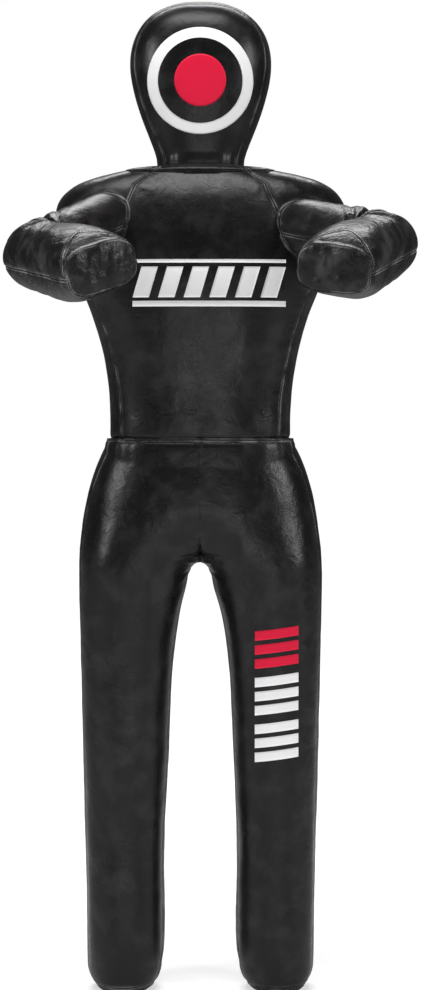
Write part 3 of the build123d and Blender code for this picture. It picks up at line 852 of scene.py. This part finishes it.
def build_arm(name, side, trunk):
    """The sleeve out of the armhole, the elbow with its folds, and the forearm down to the flat hand cap."""
    shoulder, elbow, hand, upper, fore = arm_line(name)
    axis = upper.cross(fore).normalized()
    up = axis if axis.z > 0 else -axis
    frames, along, lengths = arm_frames(shoulder, elbow, hand, up)
    rings = cast_rings(covers(f"{name}_upper_arm", f"{name}_forearm"), frames, along, turns=240)
    grid = even_rings(rings, int(0.37 / ARM_CELL))
    normals = grid_normals(grid)
    centres, outs, tops = as_arrays(frames)
    height = np.sum((grid - centres) * tops, axis=2)
    width = np.sum((grid - centres) * outs, axis=2)
    towards = (shoulder + hand) / 2 - elbow
    crook = math.copysign(1.0, towards.dot(frames[len(frames) // 2][1]))
    inner = crook * width / np.hypot(width, height)
    s = np.broadcast_to(along[:, None], height.shape)
    from_elbow = s - lengths[0] - lengths[1] / 2
    from_ring = s - ARM_ROOT
    end = along[-1] - s

    seams = distance(height + 0.004, grid)
    gable = np.where(height > 0, distance(end - 0.01 - 0.045 * (1 - np.abs(width) / 0.062), grid), 1.0)
    hole = armhole(grid, from_ring, trunk)
    press = seam_press(seams, s, grid, pull=0.001) + seam_press(hole, ring_run(grid), grid, pull=0.0015)
    press += seam_press(end, ring_run(grid), grid, depth=0.001, pull=0.001, pucker=0.0006)
    press += seam_press(gable, width, grid, pull=0.0004, pucker=0.0003)
    press += dents(grid, 0.0022, 30.0 + side)
    press += elbow_folds(s, from_elbow, inner, height, width, 33.0 + side)
    gathers = streaks(50.0 + side, ring_run(grid) * 36, s * 9, 0 * s)
    press += 0.001 * gathers * np.exp(-np.maximum(hole, 0) / 0.03)
    press += 0.0016 * rough(grid, (34, 34, 34), 60.0 + side) * smooth(0.12, 0.0, end)
    grid = grid + normals * press[..., None]

    labels = np.where(seams[:-1] > 0, f"sleeve_top_skin_{name}", f"sleeve_bottom_skin_{name}").astype(object)
    outer = from_ring[:-1] >= 0.062
    labels[outer & (seams[:-1] > 0)] = f"forearm_top_skin_{name}"
    labels[outer & (seams[:-1] <= 0)] = f"forearm_bottom_skin_{name}"
    closing = np.where(np.abs(end) < np.abs(hole), end, hole)
    pieces = make_pieces(grid, labels, (seams,), (closing, gable))
    across = (upper + fore).normalized()
    for label, piece in pieces.items():
        dress(piece, LEATHER)
        if label.startswith("sleeve"):
            start, end = shoulder - upper * 0.012, shoulder + upper * 0.056
            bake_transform(piece)
        else:
            start, end = elbow - across * 0.048, elbow + across * 0.05
            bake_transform(piece)
    for skin, node in (("sleeve", "upper_arm"), ("forearm", "forearm")):
        for face in ("top", "bottom"):
            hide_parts(f"{name}_{node}_{face}_panel")
        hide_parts(f"{name}_{node}_filling")
    build_hand_cap(name, side, grid[-1], fore)


def armhole(grid, from_ring, trunk):
    """Each point's distance outside the trunk's skin, less the seam's own standing height."""
    out = np.full(from_ring.shape, 1.0)
    for i, k in np.argwhere(from_ring < 0.08):
        place, normal, _, gap = trunk.find_nearest(Vector(grid[i, k]))
        inside = (Vector(grid[i, k]) - place).dot(normal) < 0
        out[i, k] = (-gap if inside else gap) - 0.005
    return out


def elbow_folds(s, from_elbow, inner, height, width, shift):
    """Rounded folds with sharp valleys that fan out from the crook of the elbow, and the crook's dent."""
    outward = (1 - inner) / 2
    spread = 0.016 + 0.055 * outward
    turn = from_elbow / spread
    wave = streaks(shift, s * 10, height * 14, width * 14)
    folds = np.abs(np.sin(math.pi * (1.25 * turn + 0.5 * wave))) - 0.6
    finer = np.abs(np.sin(math.pi * (2.7 * turn + 0.9 * wave + 0.3))) - 0.6
    reach = np.where(height > 0, 0.3 + 0.7 * smooth(1.0, 0.45, outward), smooth(1.0, 0.4, outward))
    press = (0.0098 * folds + 0.0028 * finer) * reach * bump(turn, 1.7)
    press += -0.008 * smooth(0.35, 0.0, outward) * bump(from_elbow, 0.016)
    fans = streaks(shift + 7, s * 30, height * 12, width * 12)
    return press + 0.0025 * fans * smooth(1.0, 0.3, outward) * bump(from_elbow, 0.09)


def build_hand_cap(name, side, rim, fore):
    """The flat end of the hand: rings shrinking from the rim to the middle, crowned and creased."""
    middle = rim.mean(axis=0)
    way = np.array(fore)
    shares = np.concatenate([[0.0, 0.015, 0.035, 0.06], np.linspace(0.1, 0.97, 15)])
    rows = []
    for t in shares:
        ring = rim * (1 - t) + middle * t
        lift = 0.0035 * math.sin(min(t / 0.5, 1) * math.pi / 2) - 0.0025 * bump(t - 0.02, 0.014)
        rows.append(ring + way * lift)
    grid = np.array(rows)
    t = np.broadcast_to(shares[:, None], grid.shape[:2])
    creases = rough(grid, (30, 30, 22), 70.0 + side)
    soft = rough(grid, (70, 70, 60), 80.0 + side)
    bands = rough(grid, (52, 52, 10), 90.0 + side)
    press = (0.0024 * creases + 0.0022 * bands + 0.0008 * soft) * smooth(0.0, 0.12, t)
    grid = grid + way * press[..., None]
    edge = np.linalg.norm(grid - grid[0][None], axis=2)
    labels = np.full((len(grid) - 1, grid.shape[1]), f"hand_cap_skin_{name}", dtype=object)
    pieces = make_pieces(grid, labels, (), (edge,), cap_high=True)
    for piece in pieces.values():
        face = piece.data.polygons[len(piece.data.polygons) // 2]
        if face.normal.dot(fore) < 0:
            piece.data.flip_normals()
        dress(piece, LEATHER)
        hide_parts(f"{name}_hand_cap")
        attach(piece, f"{name}_forearm")


# --- Prints ---
def skin_tree(grid):
    """A search tree over a skin, for pressing prints onto it."""
    rows, columns = grid.shape[:2]
    faces = [corners(i, k, columns) for i in range(rows - 1) for k in range(columns)]
    return BVHTree.FromPolygons([Vector(p) for p in grid.reshape(-1, 3)], faces)


def press_on(name, patches, tree, body, finish, node):
    """Flat patches, each a grid of (x, z) points, pressed onto a skin's front with a thin raised edge."""
    points, faces = [], []
    for patch, closed in patches:
        rows, columns = patch.shape[:2]
        first = len(points)
        layers = []
        for x, z in patch.reshape(-1, 2):
            found = tree.ray_cast(Vector((x, BODY_Y - REACH, z)), Vector((0, 1, 0)), REACH)
            out = -found[1] if found[1].y > 0 else found[1]
            layers.append((found[0] + out * PRINT_LIFT, found[0] - out * PRINT_SINK))
        points += [upper for upper, _ in layers]
        for i in range(rows - 1):
            for k in range(columns if closed else columns - 1):
                faces.append(tuple(first + j for j in corners(i, k, columns)))
        loops = [list(range(columns)), list(range((rows - 1) * columns, rows * columns))]
        if closed and np.allclose(patch[0], patch[0][0]):
            loops = loops[1:]
        if not closed:
            rim = loops[0] + [i * columns + columns - 1 for i in range(1, rows)]
            rim += loops[1][::-1][1:] + [i * columns for i in range(rows - 2, 0, -1)]
            loops = [rim]
        for loop in loops:
            under = len(points)
            points += [layers[j][1] for j in loop]
            size = len(loop)
            for k in range(size):
                n = (k + 1) % size
                faces.append((first + loop[k], first + loop[n], under + n, under + k))
    mesh = bpy.data.meshes.new(name)
    mesh.from_pydata(points, [], faces)
    merged = bmesh.new()
    merged.from_mesh(mesh)
    bmesh.ops.remove_doubles(merged, verts=merged.verts, dist=1e-6)
    merged.to_mesh(mesh)
    merged.free()
    mesh.shade_smooth()
    keep_rest(mesh)
    piece = new_object(name, mesh)
    dress(piece, finish)
    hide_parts(node)
    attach(piece, body)


def ring_patch(centre, inner, outer, rows=8, columns=128):
    """A ring, or a disc where inner is zero."""
    radii = np.linspace(inner, outer, rows)[:, None]
    turns = 2 * math.pi * np.arange(columns) / columns
    grid = np.stack([centre[0] + radii * np.cos(turns), centre[1] + radii * np.sin(turns)], axis=-1)
    return grid, True


def slab_patch(outline, cell=0.004):
    """A four-sided patch from its corners in order, cut into small cells."""
    a, b, c, d = [np.array(p) for p in outline]
    across = max(int(np.linalg.norm(b - a) / cell), 2)
    up = max(int(np.linalg.norm(d - a) / cell), 2)
    s, t = np.linspace(0, 1, across + 1)[None, :, None], np.linspace(0, 1, up + 1)[:, None, None]
    return (a * (1 - s) + b * s) * (1 - t) + (d * (1 - s) + c * s) * t, False


def round_node(node):
    """The middle, as (x, z), and the radius of a round node that faces the front."""
    low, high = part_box(node)
    return ((low.x + high.x) / 2, (low.z + high.z) / 2), (high.x - low.x) / 2


def build_target(tree):
    """The head's white ring and red centre."""
    centre, outer = round_node("target_ring")
    spots = frame["nodes"]["target_ring"].data.vertices
    inner = min(math.hypot(v.co.x - centre[0], v.co.z - centre[1]) for v in spots)
    ring = ring_patch(centre, inner, outer)
    press_on("target_ring_print", [ring], tree, "head", WHITE, "target_ring")
    centre, radius = round_node("target_centre")
    disc = ring_patch(centre, 0.0, radius, rows=14, columns=96)
    press_on("target_centre_print", [disc], tree, "head", RED, "target_centre")


def build_chest_bars(tree, blocks=6, slant=0.016, gap=0.016, rules=(0.006, 0.01)):
    """Slanted blocks between a thin upper and a thicker lower rule."""
    low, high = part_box("chest_print")
    upper, lower = high.z - rules[0], low.z + rules[1]
    bars = [((low.x, upper), (high.x, upper), (high.x, high.z), (low.x, high.z))]
    bars.append(((low.x, low.z), (high.x, low.z), (high.x, lower), (low.x, lower)))
    pitch = (high.x - low.x) / blocks
    half = (pitch - gap) / 2
    base, top = lower + 0.006, upper - 0.007
    for i in range(blocks):
        foot = low.x + pitch * (i + 0.5) - slant / 2
        head = foot + slant
        bars.append(((foot - half, base), (foot + half, base), (head + half, top), (head - half, top)))
    patches = [slab_patch(b) for b in bars]
    press_on("chest_bars_print", patches, tree, "torso", WHITE, "chest_print")


def build_thigh_bars(tree, groups=3, bars=3, slant=0.01, thick=0.017):
    """Groups of short slanted bars up the left thigh. The top group is red."""
    low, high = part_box("thigh_print_white")[0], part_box("thigh_print_red")[1]
    tall = high.z - low.z
    white, red = [], []
    for i in range(groups):
        foot = low.z + (tall + 0.001) / groups * i
        for k in range(bars):
            z = foot + k * (tall / groups - 0.008) / bars
            bar = ((low.x, z), (high.x, z + slant), (high.x, z + slant + thick), (low.x, z + thick))
            (red if i == groups - 1 else white).append(slab_patch(bar))
    press_on("thigh_white_print", white, tree, "left_thigh", WHITE, "thigh_print_white")
    press_on("thigh_red_print", red, tree, "left_thigh", RED, "thigh_print_red")


# --- Zip (CAD parts carried over) ---
def build_zip():
    """Materials for the zip's own CAD parts, which keep their shapes."""
    for name, node in frame["nodes"].items():
        if not name.startswith("zip_"):
            continue
        material = TAPE if "tape" in name else TEETH if "teeth" in name else METAL
        node.data.materials.clear()
        node.data.materials.append(material)


# --- Stage ---
def build_floor():
    """A wide pale floor that fades into the white surround."""
    radii, turns = (0.5, 1.5, 4.0, 9.0, 16.0), 48
    points, faces = [(0, 0, 0)], []
    for i, radius in enumerate(radii):
        for k in range(turns):
            turn = 2 * math.pi * k / turns
            points.append((radius * math.cos(turn), radius * math.sin(turn), 0))
            here, beside = 1 + i * turns + k, 1 + i * turns + (k + 1) % turns
            faces.append((0, here, beside) if i == 0 else (here - turns, here, beside, beside - turns))
    mesh = bpy.data.meshes.new("floor")
    mesh.from_pydata(points, [], faces)

    def build(surface):
        at = add_node(surface, "ShaderNodeTexCoord").outputs["Object"]
        soft = noise(at, 3.0, 3.0)
        shade = mix_colour(soft, (0.86, 0.86, 0.86), (0.9, 0.9, 0.9))
        link(shade, surface.inputs["Base Color"])
        away = add_node(surface, "ShaderNodeVectorMath")
        away.operation = "LENGTH"
        link(at, away.inputs[0])
        seen = add_node(surface, "ShaderNodeLightPath").outputs["Is Camera Ray"]
        surface.inputs["Roughness"].default_value = 0.7
        surface.inputs["Emission Color"].default_value = (1, 1, 1, 1)
        glow = product(seen, ramp(away.outputs["Value"], 1.0, 4.5, 0.5, 1.0))
        link(glow, surface.inputs["Emission Strength"])

    mesh.materials.append(node_material("pale_floor", build))
    new_object("floor", mesh)


def area_light(name, place, target, size, power):
    data = bpy.data.lights.new(name, "AREA")
    data.shape = "RECTANGLE"
    data.size, data.size_y = size
    data.energy = power
    light = bpy.data.objects.new(name, data)
    light.location = place
    light.rotation_euler = (Vector(target) - Vector(place)).to_track_quat("-Z", "Y").to_euler()
    bpy.context.scene.collection.objects.link(light)


def build_light():
    """Soft studio light: one box overhead, one each side, one behind, a low one in front, and a dim surround
    that looks white to the camera."""
    chest = (BODY_X, BODY_Y, 1.1)
    area_light("top_box", (-0.3, -1.3, 4.9), chest, (3.0, 1.4), 125)
    area_light("left_box", (-4.0, -2.3, 2.6), chest, (1.0, 2.2), 90)
    area_light("right_box", (4.0, -2.3, 2.4), chest, (1.0, 2.2), 90)
    area_light("rear_box", (0.0, 2.2, 3.8), chest, (2.6, 1.0), 60)
    area_light("low_box", (0.2, -4.3, 0.45), chest, (1.8, 0.6), 14)
    world = bpy.data.worlds.new("studio")
    world.use_nodes = True
    back = world.node_tree.nodes["Background"]
    seen = add_node(back, "ShaderNodeLightPath").outputs["Is Camera Ray"]
    link(ramp(seen, 0.0, 1.0, 0.05, 1.0), back.inputs["Strength"])
    back.inputs["Color"].default_value = (1, 1, 1, 1)
    bpy.context.scene.world = world
    bpy.context.scene.view_settings.view_transform = "Standard"


def build_camera():
    """Straight in front, a little above waist height, with the frame shifted down onto the whole figure."""
    data = bpy.data.cameras.new("camera")
    camera = bpy.data.objects.new("camera", data)
    bpy.context.scene.collection.objects.link(camera)
    away, eye, sensor = 4.5, 1.07, 36.0
    shown = CROWN_Z / 0.994  # the figure all but fills the frame's height
    data.sensor_width = sensor
    data.lens = sensor * away / shown
    camera.location = (BODY_X + 0.02, BODY_Y - away, eye)
    camera.rotation_euler = (math.pi / 2, 0, 0)
    data.shift_y = (CROWN_Z / 2 - eye) / shown
    bpy.context.scene.camera = camera


head_skin = build_head()
torso_skin = build_torso(head_skin[0])
left_leg_skin = build_leg("left", 1)
build_leg("right", -1)
for arm_name, arm_side in SIDES.items():
    build_arm(arm_name, arm_side, skin_tree(torso_skin))
build_target(skin_tree(head_skin))
build_chest_bars(skin_tree(torso_skin))
build_thigh_bars(skin_tree(left_leg_skin))
build_zip()
build_floor()
build_light()
build_camera()
